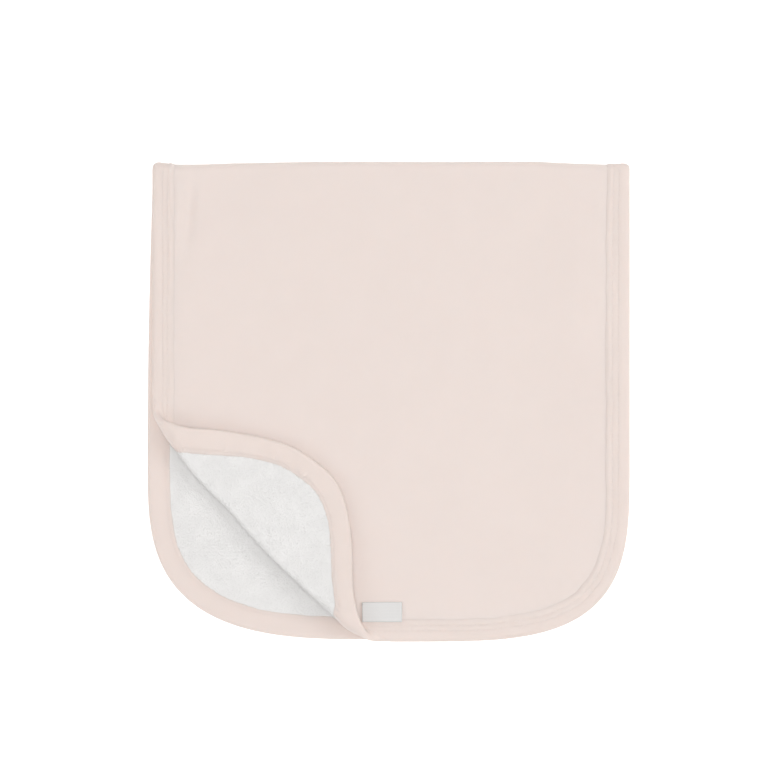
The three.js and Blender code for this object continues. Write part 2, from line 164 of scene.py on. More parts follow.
BINDING_REVERSE = (
    (0.05, -0.74), (0.25, -1.34), (0.7, -1.8), (1.4, -2.04), (2.4, -2.14), (3.8, -2.15), (5.2, -2.12),
    (6.6, -2.06), (7.6, -2.0), (8.3, -1.93), (8.8, -1.86), (9.3, -1.8), (10.2, -1.68),
    (11.0, -1.5), (11.8, -1.26), (12.2, -1.0), (12.0, -0.8), (10.2, -0.8),
)
BINDING_CAVITY = (
    (9.5, -1.0), (5.5, -1.0), (2.2, -1.0), (1.3, -0.5), (1.3, 0.5), (2.2, 1.0), (5.5, 1.0), (9.5, 1.0),
)

# Sewing
STITCH_PITCH = 2.9
STITCH_LENGTH = 2.45
THREAD = 0.15
FACE_ROWS = ({"d": 5.4, "h": 1.86}, {"d": 8.0, "h": 1.66})
LOOPER = {"from": 8.8, "to": 10.4, "h": -1.8, "thread": 0.1}
THREAD_TAPER = 0.25
THREAD_DIP = 0.3
THREAD_RISE = 0.05

# Label, a bare woven tab folded over at its free end
LABEL = {"left": -15.1, "right": 5.7, "root": 10.3, "end": 20.6, "low": 1.36, "gap": 0.27, "cloth": 0.3}

# Meshes
DEEP = 60.0
NEAR_EDGE = 46
CELL = 1.8
FOLD_CELL = 0.5
FOLD_REACH = 7.0
PANEL_EDGE = 3.0
ROLL_CUTS = 14
ROLL_SCALE = 3.0
ROLL_NEAR = 9.0
CUT_SNAP = 0.02
WELD = 0.15
STATION_STEP = 1.6
FINE_STEP = 0.55
EDGE_SAMPLE = 0.25
FOLD_MARGIN = 3
ROLL_MARGIN = 9

# Terry loops
LOOP_START = 11.3
LOOP_ROW = 0.70
LOOP_STEP = 0.64
LOOP_JITTER = 0.16
LOOP_HALF_GAP = 0.2
LOOP_HEIGHT = (0.36, 0.6)
LOOP_LEAN = 0.25
YARN = 0.13
FLAP_LOOP_REACH = 3.0
BACK_LOOP_REACH = 4.0
LOOP_FADE = 2
LOOP_SHARE = 0.6
LOOP_SINK = 0.06

# Looks, in metres: how far red, green and blue light seep in, and a wave texture's pitch at scale 1
JERSEY_SEEP = (0.004, 0.0028, 0.0023)
TERRY_SEEP = (0.001, 0.001, 0.001)
LABEL_SEEP = (0.0005, 0.0005, 0.0005)
WAVE_PITCH = 0.3142

# Camera and floor, in metres
CAMERA_HEIGHT = 1.6
VIEW_WIDTH = 0.3994
VIEW_CENTRE = (-0.00175, 0.00858)
VIEW_PLANE = 0.006
FLOOR_REACH = 4.0

random = np.random.default_rng(7)


def smooth(q):
    x = np.clip(q, 0, 1)
    return x * x * (3 - 2 * x)


def curve(table, key, column, place):
    """Smooth curve through one column of a table."""
    x, y = np.array(table[key], float), np.array(table[column], float)
    slope = np.empty_like(y)
    slope[1:-1] = (y[2:] - y[:-2]) / (x[2:] - x[:-2])
    slope[0] = (y[1] - y[0]) / (x[1] - x[0])
    slope[-1] = (y[-1] - y[-2]) / (x[-1] - x[-2])
    p = np.clip(place, x[0], x[-1])
    i = np.clip(np.searchsorted(x, p) - 1, 0, len(x) - 2)
    width = x[i + 1] - x[i]
    q = (p - x[i]) / width
    start = (2 * q**3 - 3 * q**2 + 1) * y[i] + (q**3 - 2 * q**2 + q) * width * slope[i]
    end = (3 * q**2 - 2 * q**3) * y[i + 1] + (q**3 - q**2) * width * slope[i + 1]
    return start + end


# The draping map


def raised(d):
    return 1 - smooth((d - RAISE_START) / RAISE_RUN)


MAIN_RADIUS = (FRONT_Z - BACK_Z) / 2
FIELD_CREST = CREST_Y - MAIN_RADIUS - JERSEY
FLAT_START = FIELD_CREST + MAIN_RADIUS * math.pi / 2


def main_fold(u, d):
    r = raised(d)
    low = BACK_Z + OWN_RAISE * r
    high = FRONT_Z + (OWN_RAISE + STACK_RAISE) * r
    radius = (high - low) / 2
    outer = JERSEY + (BINDING_OUT - JERSEY) * r
    crest = CREST_Y + curve(CREST_LINE, "u", "rise", u) - radius - outer
    arc = radius * math.pi / 2
    return {"low": low, "radius": radius, "crest": crest, "arc": arc, "middle": (low + high) / 2}


def plan_place(u, s, d):
    """Place of a flat point beyond the main fold, seen from above."""
    fold = main_fold(u, d)
    shift = fold["crest"] + fold["arc"] - FLAT_START
    fade = 1 - smooth((np.abs(s) - fold["arc"]) / CREST_FADE)
    skew = BACK_SKEW * np.sin(np.clip(-s / BACK_SKEW_RUN, 0, 1) * math.pi / 2)
    short = BACK_SHORT * smooth(-s / HALF_LENGTH)
    return u + FRONT_SHIFT - skew, FLAT_START - np.abs(s) + shift * fade + short


def fold_place(x, y):
    """Where a point of the plan is along and past the turned corner's fold."""
    t = x * FOLD_ALONG[0] + y * FOLD_ALONG[1]
    row = {column: curve(FOLD_LINE, "t", column, t) for column in ("bow", "radius", "lift", "slip")}
    past = x * FOLD_OUT[0] + y * FOLD_OUT[1] - FOLD_DISTANCE - row["bow"]
    return {**row, "t": t, "past": past, "half": row["radius"] * math.pi / 2}


def swell(x, y):
    total = np.zeros_like(x)
    for w in SWELLS:
        a = math.radians(w["angle"])
        p = ((x - w["x"]) * math.cos(a) + (y - w["y"]) * math.sin(a)) / w["long"]
        q = ((y - w["y"]) * math.cos(a) - (x - w["x"]) * math.sin(a)) / w["wide"]
        total += w["height"] * (1 - smooth(np.hypot(p, q)))
    return total


def creased(x, y, strokes):
    total = np.zeros_like(x)
    for stroke in strokes:
        (x0, y0), (x1, y1) = stroke["start"], stroke["end"]
        length = math.hypot(x1 - x0, y1 - y0)
        q = ((x - x0) * (x1 - x0) + (y - y0) * (y1 - y0)) / length**2
        off = ((x - x0) * (y1 - y0) - (y - y0) * (x1 - x0)) / length
        begun, left = q + CREASE_OVERRUN, 1 + CREASE_OVERRUN - q
        taper = smooth(begun / CREASE_TAPER) * smooth(left / CREASE_TAPER)
        total += stroke["height"] * taper * np.exp(-((off / stroke["width"]) ** 2))
    return total


def under_flap(x, y):
    depth = np.minimum(HALF_WIDTH - np.abs(x - FRONT_SHIFT), HALF_LENGTH - (FLAT_START - y))
    return (OWN_RAISE + STACK_RAISE) * raised(np.maximum(depth, 0))


def fold_point(fold, p):
    out = p + fold["bow"] + FOLD_DISTANCE
    return out * FOLD_OUT[0] + fold["t"] * FOLD_ALONG[0], out * FOLD_OUT[1] + fold["t"] * FOLD_ALONG[1]


def lying(plan, fold, d, out):
    """The part of the front half before its turned corner."""
    before = -fold["past"] - fold["half"]
    lift = fold["lift"] * (1 - smooth(before / LIFT_RUN))
    crease = creased(*plan, CREASES) * smooth(before / CREASE_CLEAR)
    z = FRONT_Z + STACK_RAISE * raised(d) + lift + swell(*plan) + crease + out
    return np.column_stack([*plan, z])


def turned_over(fold, d, out, theta):
    """The turned corner: its roll, and past that the flap."""
    roll_z = FRONT_Z + STACK_RAISE * raised(d) + fold["lift"]
    roll_z = roll_z + fold["radius"] * (1 - np.cos(theta)) + out * np.cos(theta)
    beyond = fold["past"] - fold["half"]
    rolled = -fold["half"] + (fold["radius"] - out) * np.sin(theta)
    flapped = -fold["past"] + fold["slip"] * smooth(beyond / SLIP_RUN)
    x, y = fold_point(fold, np.where(beyond <= 0, rolled, flapped))
    lift = fold["lift"] * (1 - smooth(beyond / LIFT_RUN))
    rest = FLAP_Z + lift + under_flap(x, y) + swell(x, y) - out
    settled = smooth(beyond / SETTLE_RUN)
    return np.column_stack([x, y, rest * settled + roll_z * (1 - settled)])


def front_points(plan, d, h):
    fold = fold_place(*plan)
    theta = np.clip((fold["past"] + fold["half"]) / fold["radius"], 0, math.pi)
    out = h + OWN_RAISE * raised(d) * (1 - 2 * np.sin(theta / 2) ** 2)
    flat = fold["past"] <= -fold["half"]
    return np.where(flat[:, None], lying(plan, fold, d, out), turned_over(fold, d, out, theta))


def drape(u, s, d, h):
    """Flat places and heights through the cloth to points, one row each."""
    u, s, d, h = (np.asarray(a, float).ravel() for a in np.broadcast_arrays(u, s, d, h))
    fold = main_fold(u, d)
    plan = plan_place(u, s, d)
    phi = s / fold["radius"]
    reach = fold["radius"] + h
    y, z = fold["crest"] + reach * np.cos(phi), fold["middle"] + reach * np.sin(phi)
    bent = np.column_stack([plan[0], y, z])
    back = np.column_stack([*plan, fold["low"] - h])
    lain = np.where((s < 0)[:, None], back, front_points(plan, d, h))
    points = np.where((np.abs(s) < fold["arc"])[:, None], bent, lain)
    points[:, 2] = np.maximum(points[:, 2], 0)
    return points


# The cut edge


def corner_run(side, end, steps=260):
    shape = CORNERS[side, end]
    across, length, power = shape["across"], shape["along"], shape["power"]
    turn = np.linspace(0, math.pi / 2, steps + 1)
    w = np.arctan((np.tan(turn) * length / across) ** (power / (2 * (power - 1))))
    w[-1] = math.pi / 2
    u = side * (HALF_WIDTH - across + across * np.clip(np.cos(w), 0, 1) ** (2 / power))
    s = end * (HALF_LENGTH - length + length * np.sin(w) ** (2 / power))
    return np.column_stack([u, s, side * np.cos(turn), end * np.sin(turn)])


def cut_edge():
    """Closed outline as rows of u, s and outward direction, and the distance round it."""
    runs = [corner_run(1, 1), corner_run(-1, 1)[::-1], corner_run(-1, -1), corner_run(1, -1)[::-1]]
    rows = np.concatenate(runs)
    rows = np.concatenate([rows, rows[:1]])
    steps = np.hypot(*np.diff(rows[:, :2], axis=0).T)
    keep = np.concatenate([[True], steps > 1e-6])
    return rows[keep], np.concatenate([[0], np.cumsum(steps[keep[1:]])])


EDGE, EDGE_AT = cut_edge()
EDGE_LENGTH = EDGE_AT[-1]


def stations(p):
    """u, s and outward direction at distances p round the edge."""
    u, s, nu, ns = (np.interp(p % EDGE_LENGTH, EDGE_AT, EDGE[:, k]) for k in range(4))
    size = np.hypot(nu, ns)
    return u, s, nu / size, ns / size


def inset(p, d):
    u, s, nu, ns = stations(p)
    return u - nu * d, s - ns * d


def depth(u, s, block=3000):
    """Distance in from the edge, the nearest place on it and how far round that is."""
    found = np.column_stack([np.full(len(u), DEEP), u, s, np.zeros(len(u))])
    near = np.minimum(HALF_WIDTH - np.abs(u), HALF_LENGTH - np.abs(s)) < NEAR_EDGE
    found[near] = measured_depth(u[near], s[near], block)
    return found


def measured_depth(u, s, block):
    start, along = EDGE[:-1, :2], np.diff(EDGE[:, :2], axis=0)
    squared = (along**2).sum(1)
    found = []
    for i in range(0, len(u), block):
        point = np.column_stack([u[i : i + block], s[i : i + block]])[:, None]
        q = np.clip(((point - start) * along).sum(2) / squared, 0, 1)
        away = ((point - start - q[..., None] * along) ** 2).sum(2)
        near = away.argmin(1)
        row = np.arange(len(near))
        foot = start[near] + q[row, near][:, None] * along[near]
        at = EDGE_AT[near] + q[row, near] * np.sqrt(squared[near])
        found.append(np.column_stack([np.sqrt(away[row, near]), foot, at]))
    return np.concatenate(found)


def waves(table, p):
    total = np.zeros_like(p)
    for count, size, phase in zip(table["waves"], table["size"], table["phase"]):
        total += size * np.sin(2 * math.pi * count * p / EDGE_LENGTH + phase)
    return total


def gathered(p, d, s):
    """How far the sewing draws the cloth up or down near the edge of the upper half."""
    window = np.interp(d, GATHER_WINDOW["d"], GATHER_WINDOW["share"])
    return GATHER_HEIGHT * waves(GATHER, p) * window * smooth((s - GATHER_START) / GATHER_RUN)


# Meshes


def add_piece(name, points, faces, material, flat=None):
    mesh = bpy.data.meshes.new(name)
    mesh.from_pydata((points * MM).tolist(), [], faces)
    mesh.validate()
    bm = bmesh.new()
    bm.from_mesh(mesh)
    bmesh.ops.recalc_face_normals(bm, faces=bm.faces)
    bm.to_mesh(mesh)
    bm.free()
    mesh.shade_smooth()
    if flat is not None:
        layer = mesh.attributes.new("flat", "FLOAT_VECTOR", "POINT")
        layer.data.foreach_set("vector", np.column_stack([flat, np.zeros(len(flat))]).ravel())
    mesh.materials.append(material)
    piece = bpy.data.objects.new(name, mesh)
    bpy.context.scene.collection.objects.link(piece)
    return piece


def rim_of(faces):
    """Directed edges that only one face uses."""
    edges = {(a, b) for face in faces for a, b in zip(face, face[1:] + face[:1])}
    return [(a, b) for a, b in edges if (b, a) not in edges]


def sheet_body(faces, high, low):
    """Closed body between two skins that share the same faces."""
    n = len(high)
    under = [[k + n for k in face[::-1]] for face in faces]
    walls = [[b, a, a + n, b + n] for a, b in rim_of(faces)]
    return np.concatenate([high, low]), faces + under + walls


def grid_faces(rows, columns, keep=None):
    faces = []
    for i in range(rows - 1):
        for j in range(columns - 1):
            face = [i * columns + j, i * columns + j + 1, (i + 1) * columns + j + 1, (i + 1) * columns + j]
            if keep is None or keep[face].all():
                faces.append(face)
    return faces


def ring_faces(rows, around, closed):
    """Quads of a tube with that many rings and points around it."""
    faces = []
    for i in range(rows if closed else rows - 1):
        j = (i + 1) % rows
        for k in range(around):
            m = (k + 1) % around
            faces.append([i * around + k, i * around + m, j * around + m, j * around + k])
    return faces


# Panels


def even(start, stop, step):
    return np.linspace(start, stop, max(2, round(abs(stop - start) / step) + 1))


def roll_place(u, s, d):
    fold = fold_place(*plan_place(u, s, d))
    return fold["t"], ROLL_SCALE * fold["past"] / fold["half"]


def roll_mesh(u, s, d, faces):
    """The flat mesh laid out by place along and past the roll, and its faces near the roll."""
    bm = bmesh.new()
    layers = [bm.verts.layers.float.new(name) for name in ("u", "s")]
    t, q = roll_place(u, s, d)
    for place in zip(t, q, u, s):
        vertex = bm.verts.new((place[0], place[1], 0))
        vertex[layers[0]], vertex[layers[1]] = place[2], place[3]
    bm.verts.ensure_lookup_table()
    near = []
    for face in faces:
        made = bm.faces.new([bm.verts[k] for k in face])
        if all(s[k] > TURN_MIN_S and abs(q[k]) < ROLL_NEAR for k in face):
            near.append(made)
    return bm, layers, near


def cut_roll(u, s, d, faces):
    """Cuts lines into the flat mesh along the turned corner's roll."""
    bm, layers, near = roll_mesh(u, s, d, faces)
    geometry = near + list({e for f in near for e in f.edges}) + list({v for f in near for v in f.verts})
    for level in np.linspace(-1, 1, ROLL_CUTS + 1):
        plane = {"plane_co": (0, level * ROLL_SCALE, 0), "plane_no": (0, 1, 0), "dist": CUT_SNAP}
        geometry = bmesh.ops.bisect_plane(bm, geom=geometry, **plane)["geom"]
    for vertex in bm.verts:
        vertex.co = (vertex[layers[0]], vertex[layers[1]], 0)
    bmesh.ops.remove_doubles(bm, verts=bm.verts, dist=WELD)
    bm.verts.index_update()
    places = np.array([v.co for v in bm.verts])
    cells = [[v.index for v in face.verts] for face in bm.faces]
    bm.free()
    return places[:, 0], places[:, 1], cells


def pattern():
    """Flat mesh that both panels share: u, s, depth, distance round the edge, and faces."""
    columns = even(PANEL_EDGE - HALF_WIDTH, HALF_WIDTH - PANEL_EDGE, CELL)
    limit = HALF_LENGTH - PANEL_EDGE
    middle = even(-FOLD_REACH, FOLD_REACH, FOLD_CELL)
    rows = np.concatenate([even(-limit, -FOLD_REACH, CELL)[:-1], middle, even(FOLD_REACH, limit, CELL)[1:]])
    u, s = (a.ravel() for a in np.meshgrid(columns, rows))
    d = depth(u, s)[:, 0]
    inside = (d > PANEL_EDGE - 1e-6) & (np.abs(u) < HALF_WIDTH) & (np.abs(s) < HALF_LENGTH)
    inside &= inside_edge(u, s)
    u, s, cells = cut_roll(u, s, d, grid_faces(len(rows), len(columns), inside))
    used = np.unique(np.concatenate([np.array(cell) for cell in cells]))
    renamed = np.full(len(u), -1)
    renamed[used] = np.arange(len(used))
    u, s = u[used], s[used]
    cells = [renamed[cell].tolist() for cell in cells]
    found = depth(u, s)
    rim = np.unique(np.array(rim_of(cells)))
    pull = (found[rim, 0] - PANEL_EDGE) / found[rim, 0]
    u[rim] += (found[rim, 1] - u[rim]) * pull
    s[rim] += (found[rim, 2] - s[rim]) * pull
    found[rim, 0] = PANEL_EDGE
    return {"u": u, "s": s, "d": found[:, 0], "p": found[:, 3], "cells": cells}


def inside_edge(u, s):
    """True where a point is within the outline."""
    side, end = np.where(u > 0, 1, -1), np.where(s > 0, 1, -1)
    within = np.ones(len(u), bool)
    for key, shape in CORNERS.items():
        own = (side == key[0]) & (end == key[1])
        a = (np.abs(u) - (HALF_WIDTH - shape["across"])) / shape["across"]
        b = (np.abs(s) - (HALF_LENGTH - shape["along"])) / shape["along"]
        beyond = np.maximum(a, 0) ** shape["power"] + np.maximum(b, 0) ** shape["power"] > 1
        within &= ~(own & beyond)
    return within


def thickness(d, full):
    return PRESSED + (full - PRESSED) * np.clip((d - PRESSED_END) / (FULL_START - PRESSED_END), 0, 1)


def bare_terry(u, s, d):
    """1 where terry shows in the folded cloth, falling to 0 around it."""
    fold = fold_place(*plan_place(u, s, d))
    inner = fold["past"] + fold["half"]
    front = smooth((inner + FLAP_LOOP_REACH + LOOP_FADE) / LOOP_FADE) * (s > TURN_MIN_S)
    back = smooth((inner + BACK_LOOP_REACH + LOOP_FADE) / LOOP_FADE) * (s < -TURN_MIN_S)
    return front + back


def panel_points(flat, height):
    shift = gathered(flat["p"], flat["d"], flat["s"])
    return drape(flat["u"], flat["s"], flat["d"], height + shift)


def add_panel(name, flat, inner, outer, material):
    points, faces = sheet_body(flat["cells"], panel_points(flat, outer), panel_points(flat, inner))
    places = np.column_stack([flat["u"], flat["s"]])
    return add_piece(name, points, faces, material, np.concatenate([places, places]))


def back_crease(plan, s, d):
    """Creases of the lower half's terry, none beside the binding."""
    return creased(*plan, BACK_CREASES) * (s < 0) * smooth((d - PRESSED_END) / BACK_CREASE_RUN)


def terry_outside(flat):
    bare = bare_terry(flat["u"], flat["s"], flat["d"])
    plan = plan_place(flat["u"], flat["s"], flat["d"])
    crease = back_crease(plan, flat["s"], flat["d"]) * bare
    return thickness(flat["d"], TERRY - (TERRY - TERRY_GROUND) * bare) + crease


# Binding and sewing


def edge_steps():
    """Places round the edge, closer together where a fold crosses it."""
    p = np.arange(0, EDGE_LENGTH, EDGE_SAMPLE)
    u, s, _, _ = stations(p)
    fold = fold_place(*plan_place(u, s, 0))
    folded = np.abs(s) < FOLD_REACH + FOLD_MARGIN
    folded |= (s > TURN_MIN_S) & (np.abs(fold["past"]) < fold["half"] + ROLL_MARGIN)
    count = np.cumsum(EDGE_SAMPLE / np.where(folded, FINE_STEP, STATION_STEP))
    return np.interp(np.arange(1, int(count[-1]) + 1), count, p)


def binding_share(p):
    """How much wider than its mean the binding lies at distances p, most at the right."""
    u, s, _, _ = stations(p)
    right = np.interp(s, SPREAD["s"], SPREAD["right"])
    wide = 1 + (right - 1) * smooth((u - SPREAD["from"]) / SPREAD["run"])
    return wide + WANDER_SHARE * waves(WANDER, p)


def pressed_share(p):
    """How flat the binding's inner edge lies at distances p: least up the right side and top left."""
    u, s, _, _ = stations(p)
    right, left = (smooth((side * u - LOOSE_SIDE["from"]) / LOOSE_SIDE["run"]) for side in (1, -1))
    left *= 1 - smooth((np.abs(s) - LOOSE_LEFT["until"]) / LOOSE_LEFT["run"])
    return 1 - np.maximum(right, left)


def section_points(p, d, h):
    """Points beside the edge at distances p, for a section of depths and heights."""
    share = binding_share(p)
    deep = d * share
    u, s = inset(p, deep)
    return drape(u, s, deep, h + gathered(p, deep, s))


def add_binding(material):
    rest = BINDING_TURN + BINDING_REVERSE + BINDING_CAVITY
    section = np.array(BINDING_FACE + tuple((d, h, h) for d, h in rest))
    p = edge_steps()
    around = len(section)
    every_p = np.repeat(p, around)
    d, h, flat_h = (np.tile(section[:, k], len(p)) for k in range(3))
    h += (flat_h - h) * pressed_share(every_p)
    points = section_points(every_p, d, h)
    faces = ring_faces(len(p), around, True)
    width = np.concatenate([[0], np.cumsum(np.hypot(*np.diff(section[:, :2], axis=0).T))])
    flat = np.column_stack([every_p, np.tile(width, len(p))])
    return add_piece("edge_binding", points, faces, material, flat)


def threads(start, end, h, size):
    """Short threads from start to end places (round the edge, depth), dipping in at both ends."""
    rings, around = 6, 5
    count = len(start)
    k = np.linspace(-1, 1, rings)
    a = np.arange(around) * 2 * math.pi / around
    run = (end - start)[:, None, :]
    centre = start[:, None, :] + (k[None, :, None] + 1) / 2 * run
    across = np.stack([-run[..., 1], run[..., 0]], -1) / np.hypot(*run.T).T[..., None]
    radius = (size * (1 - THREAD_TAPER * k**2))[None, :, None]
    place = centre[:, :, None, :] + radius[..., None] * np.cos(a)[:, None] * across[:, :, None, :]
    sunk = h - math.copysign(1, h) * (THREAD_DIP * k**4 - THREAD_RISE)
    height = np.broadcast_to(sunk[None, :, None] + radius * np.sin(a), place.shape[:3])
    points = section_points(place[..., 0].ravel(), place[..., 1].ravel(), height.ravel())
    return points, tubes(count, rings, around)


def stitch_row(row, shift):
    count = round(EDGE_LENGTH / STITCH_PITCH)
    centre = (np.arange(count) + shift) * EDGE_LENGTH / count
    ends = [np.column_stack([centre + k * STITCH_LENGTH / 2, np.full(count, row["d"])]) for k in (-1, 1)]
    return threads(*ends, row["h"], THREAD)


def looper_row():
    """Zigzag of the under thread, over the edge of the binding on the terry's side."""
    count = 2 * round(EDGE_LENGTH / STITCH_PITCH)
    p = np.arange(count + 1) * EDGE_LENGTH / count
    d = np.where(np.arange(count + 1) % 2, LOOPER["to"], LOOPER["from"])
    places = np.column_stack([p, d])
    return threads(places[:-1], places[1:], LOOPER["h"], LOOPER["thread"])


def tubes(count, rings, around):
    """Faces of many separate tubes with closed ends."""
    one = ring_faces(rings, around, False)
    one += [list(range(around))[::-1], [(rings - 1) * around + k for k in range(around)]]
    size = rings * around
    return [[k + i * size for k in face] for i in range(count) for face in one]


def join(parts):
    points, faces, offset = [], [], 0
    for some, cells in parts:
        points.append(some)
        faces += [[k + offset for k in face] for face in cells]
        offset += len(some)
    return np.concatenate(points), faces


# Terry loops


def loop_places(end):
    """Flat places of the loops where terry shows in the front (1) or back (-1) half."""
    rows = np.arange(TURN_MIN_S, HALF_LENGTH, LOOP_ROW)
    places = []
    for i, s in enumerate(rows):
        u = np.arange(-HALF_WIDTH + (i % 2) * LOOP_STEP / 2, HALF_WIDTH, LOOP_STEP)
        places.append(np.column_stack([u, np.full(len(u), end * s)]))
    places = np.concatenate(places)
    places += random.uniform(-LOOP_JITTER, LOOP_JITTER, places.shape)
    u, s = places.T
    rough = bare_terry(u, s, np.full(len(u), DEEP)) > 0.5
    u, s = u[rough], s[rough]
    within = inside_edge(u, s)
    u, s = u[within], s[within]
    found = depth(u, s)
    kept = (bare_terry(u, s, found[:, 0]) > LOOP_SHARE) & (found[:, 0] > LOOP_START)
    return u[kept], s[kept], found[kept, 0], found[kept, 3]


def loop_points(u, s, d, p):
    rings, around = 4, 3
    n = len(u)
    phi = np.linspace(0, math.pi, rings)
    a = np.arange(around) * 2 * math.pi / around
    height = random.uniform(*LOOP_HEIGHT, n)[:, None, None]
    heading = random.uniform(0, math.pi, n)[:, None, None]
    lean = random.normal(0, LOOP_LEAN, (2, n))[:, :, None, None]
    across = LOOP_HALF_GAP * (-np.cos(phi))[:, None] + YARN * np.cos(a) * -np.cos(phi)[:, None]
    beside = YARN * np.sin(a)[None, :]
    up = height * np.sin(phi)[None, :, None] + YARN * np.cos(a) * np.sin(phi)[:, None]
    reach = np.sin(phi)[None, :, None] * height
    du = across * np.cos(heading) - beside * np.sin(heading) + lean[0] * reach
    ds = across * np.sin(heading) + beside * np.cos(heading) + lean[1] * reach
    crease = back_crease(plan_place(u, s, d), s, d)
    h = -(TERRY_GROUND - LOOP_SINK + up + crease[:, None, None]) + gathered(p, d, s)[:, None, None]
    return drape(u[:, None, None] + du, s[:, None, None] + ds, d[:, None, None], h), tubes(n, rings, around)


def add_loops(name, end, material):
    points, faces = loop_points(*loop_places(end))
    return add_piece(name, points, faces, material)


# Label


def add_label(material):
    columns, arc, run = 25, 9, 14
    low, gap, cloth = LABEL["low"], LABEL["gap"], LABEL["cloth"]
    straight = np.linspace(LABEL["root"], LABEL["end"] - gap - cloth / 2, run)
    turn = np.linspace(-math.pi / 2, math.pi / 2, arc)[1:-1]
    d = np.concatenate([straight, straight[-1] + gap * np.cos(turn), straight[::-1]])
    h = np.concatenate([np.full(run, low), low + gap + gap * np.sin(turn), np.full(run, low + 2 * gap)])
    tangent = np.gradient(np.column_stack([d, h]), axis=0)
    tangent /= np.hypot(*tangent.T)[:, None]
    normal = np.column_stack([-tangent[:, 1], tangent[:, 0]]) * cloth / 2
    u = np.linspace(LABEL["left"], LABEL["right"], columns)
    skins = []
    for side in (1, -1):
        dd, hh = d + side * normal[:, 0], h + side * normal[:, 1]
        grid = np.broadcast_arrays(u[:, None], dd[None], hh[None])
        skins.append(drape(grid[0], HALF_LENGTH - grid[1], grid[1], grid[2]))
    points, faces = sheet_body(grid_faces(columns, len(d)), *skins)
    flat = np.array([(x, y) for x in u for y in range(len(d))], float)
    return add_piece("woven_label", points, faces, material, np.concatenate([flat, flat]))


# Materials


def new_material(name):
    material = bpy.data.materials.new(name)
    material.use_nodes = True
    tree = material.node_tree
    return material, tree, tree.nodes["Principled BSDF"]


def add_node(tree, kind, settings=None, **inputs):
    made = tree.nodes.new(kind)
    for key, value in (settings or {}).items():
        setattr(made, key, value)
    for key, value in inputs.items():
        socket = made.inputs[key.replace("_", " ")]
        if isinstance(value, bpy.types.NodeSocket):
            tree.links.new(value, socket)
        else:
            socket.default_value = value
    return made


def flat_place(tree):
    return add_node(tree, "ShaderNodeAttribute", {"attribute_name": "flat"}).outputs["Vector"]


def object_place(tree):
    return add_node(tree, "ShaderNodeTexCoord").outputs["Object"]


def tinted(tree, factor, low, high):
    """Colour that goes from low to high with a factor."""
    ramp = add_node(tree, "ShaderNodeValToRGB", Fac=factor)
    ramp.color_ramp.elements[0].color = (*low, 1)
    ramp.color_ramp.elements[0].position = 0.3
    ramp.color_ramp.elements[1].color = (*high, 1)
    ramp.color_ramp.elements[1].position = 0.7
    return ramp.outputs["Color"]


def finish_cloth(tree, shader, colour, height, strength, distance, roughness, sheen, seep, soak=0.3):
    """Wires a cloth shader. soak is how much of the light seeps in."""
    bump = add_node(tree, "ShaderNodeBump", Strength=strength, Distance=distance, Height=height)
    tree.links.new(colour, shader.inputs["Base Color"])
    tree.links.new(bump.outputs["Normal"], shader.inputs["Normal"])
    shader.inputs["Roughness"].default_value = roughness
    shader.inputs["Specular IOR Level"].default_value = 0.2
    shader.inputs["Sheen Weight"].default_value = sheen
    shader.inputs["Sheen Roughness"].default_value = 0.5
    shader.subsurface_method = "BURLEY"
    shader.inputs["Subsurface Weight"].default_value = soak
    shader.inputs["Subsurface Radius"].default_value = seep
    shader.inputs["Subsurface Scale"].default_value = 1.0


def bands(tree, place, axis, pitch, distortion):
    settings = {"bands_direction": axis}
    wave = {"Scale": WAVE_PITCH / pitch, "Distortion": distortion, "Detail": 1.0, "Detail_Scale": 0.7}
    return add_node(tree, "ShaderNodeTexWave", settings, Vector=place, **wave).outputs["Fac"]


def knit_height(tree, wale, course):
    """Grid of small stitches: wales across, courses along, in the flat cloth's own place."""
    place = flat_place(tree)
    wales = bands(tree, place, "X", wale, 0.6)
    courses = bands(tree, place, "Y", course, 0.8)
    product = add_node(tree, "ShaderNodeMath", {"operation": "MULTIPLY"})
    tree.links.new(wales, product.inputs[0])
    tree.links.new(courses, product.inputs[1])
    return product.outputs["Value"]


def knit_material(name, low, high, wale, course, strength):
    material, tree, shader = new_material(name)
    cloud = add_node(tree, "ShaderNodeTexNoise", Vector=object_place(tree), Scale=55.0, Detail=4.0)
    colour = tinted(tree, cloud.outputs["Fac"], low, high)
    height = knit_height(tree, wale, course)
    finish_cloth(tree, shader, colour, height, strength, 0.00015, 0.88, 0.35, JERSEY_SEEP)
    return material


def terry_material(name, low, high, scale, strength):
    material, tree, shader = new_material(name)
    place = object_place(tree)
    cloud = add_node(tree, "ShaderNodeTexNoise", Vector=place, Scale=140.0, Detail=3.0)
    grain = add_node(tree, "ShaderNodeTexNoise", Vector=place, Scale=scale, Detail=2.0, Roughness=0.6)
    colour = tinted(tree, cloud.outputs["Fac"], low, high)
    grain_height = grain.outputs["Fac"]
    finish_cloth(tree, shader, colour, grain_height, strength, 0.0003, 0.95, 0.2, TERRY_SEEP, soak=0.0)
    return material


def label_material():
    material, tree, shader = new_material("label_weave")
    colour = tinted(tree, knit_height(tree, 0.5, 1.0), (0.71, 0.70, 0.69), (0.77, 0.76, 0.75))
    height = knit_height(tree, 0.5, 1.0)
    finish_cloth(tree, shader, colour, height, 0.35, 0.0001, 0.6, 0.1, LABEL_SEEP)
    return material


# Stage


